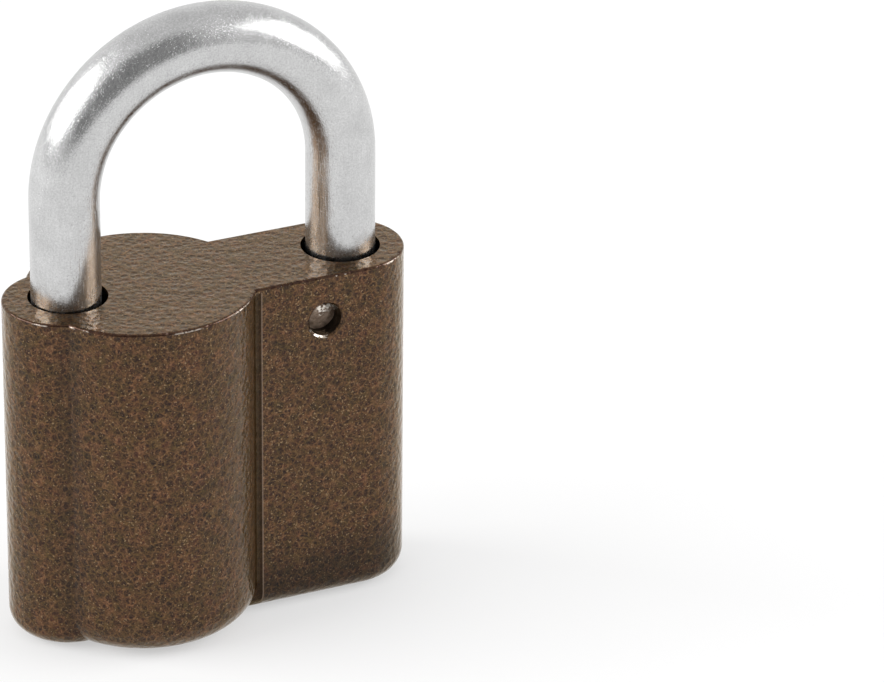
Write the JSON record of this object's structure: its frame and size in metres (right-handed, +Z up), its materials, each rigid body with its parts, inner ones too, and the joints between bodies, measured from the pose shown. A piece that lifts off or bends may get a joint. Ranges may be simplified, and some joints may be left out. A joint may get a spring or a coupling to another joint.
{
  "type": "padlock",
  "caption": "Padlock with a cast, brown hammertone-painted body, a round bulge for its disc cylinder, and a round-bar steel shackle that lifts.",
  "frame": {"origin": "middle of the body's underside", "axes": "+Z up along the shackle's legs, +X towards the heel leg that stays in the body, -Y out of the front with the heel pin's hole"},
  "size_m": [0.0724, 0.0394, 0.1117],
  "materials": {
    "hammertone_paint": "brown hammertone enamel, semi-gloss, with lighter veins and small chips",
    "bright_steel": "satin bright plated steel with fine scratches",
    "pin_steel": "plain steel, scratched",
    "barrel_brass": "machined brass",
    "disc_brass": "stamped brass",
    "dark_steel": "hardened steel, dull",
    "inner_steel": "milled steel"
  },
  "bodies": {
    "body": {"body_casting": "hammertone_paint", "heel_pin": "pin_steel", "cylinder_barrel": "barrel_brass", "locating_pin": "pin_steel", "retaining_ring": "dark_steel"},
    "shackle": {"shackle": "bright_steel"},
    "plug": {"guard_plate": "dark_steel", "disc_cage": "barrel_brass", "sidebar": "inner_steel", "drive_cam": "inner_steel", "code_disc_1": "disc_brass", "code_disc_2": "disc_brass", "code_disc_3": "disc_brass", "code_disc_4": "disc_brass", "code_disc_5": "disc_brass", "code_disc_6": "disc_brass", "code_disc_7": "disc_brass", "code_disc_8": "disc_brass", "code_disc_9": "disc_brass", "spacer_disc_1": "dark_steel", "spacer_disc_2": "dark_steel", "spacer_disc_3": "dark_steel", "spacer_disc_4": "dark_steel", "spacer_disc_5": "dark_steel", "spacer_disc_6": "dark_steel", "spacer_disc_7": "dark_steel", "spacer_disc_8": "dark_steel"},
    "bolt": {"locking_bolt": "inner_steel"}
  },
  "joints": [
    {"name": "shackle_lift", "type": "slide", "parent": "body", "child": "shackle", "axis": [0, 0, 1], "range_m": [0, 0.018]},
    {"name": "plug_turn", "type": "hinge", "parent": "body", "child": "plug", "pos_m": [-0.0117, 0, 0.02], "axis": [0, 0, 1], "range_deg": [0, 90]},
    {"name": "bolt_slide", "type": "slide", "parent": "body", "child": "bolt", "axis": [-1, 0, 0], "range_m": [0, 0.00396]}
  ],
  "couplings": [
    {"joint": "bolt_slide", "follows": "plug_turn", "m_per_rad": 0.002521}
  ]
}
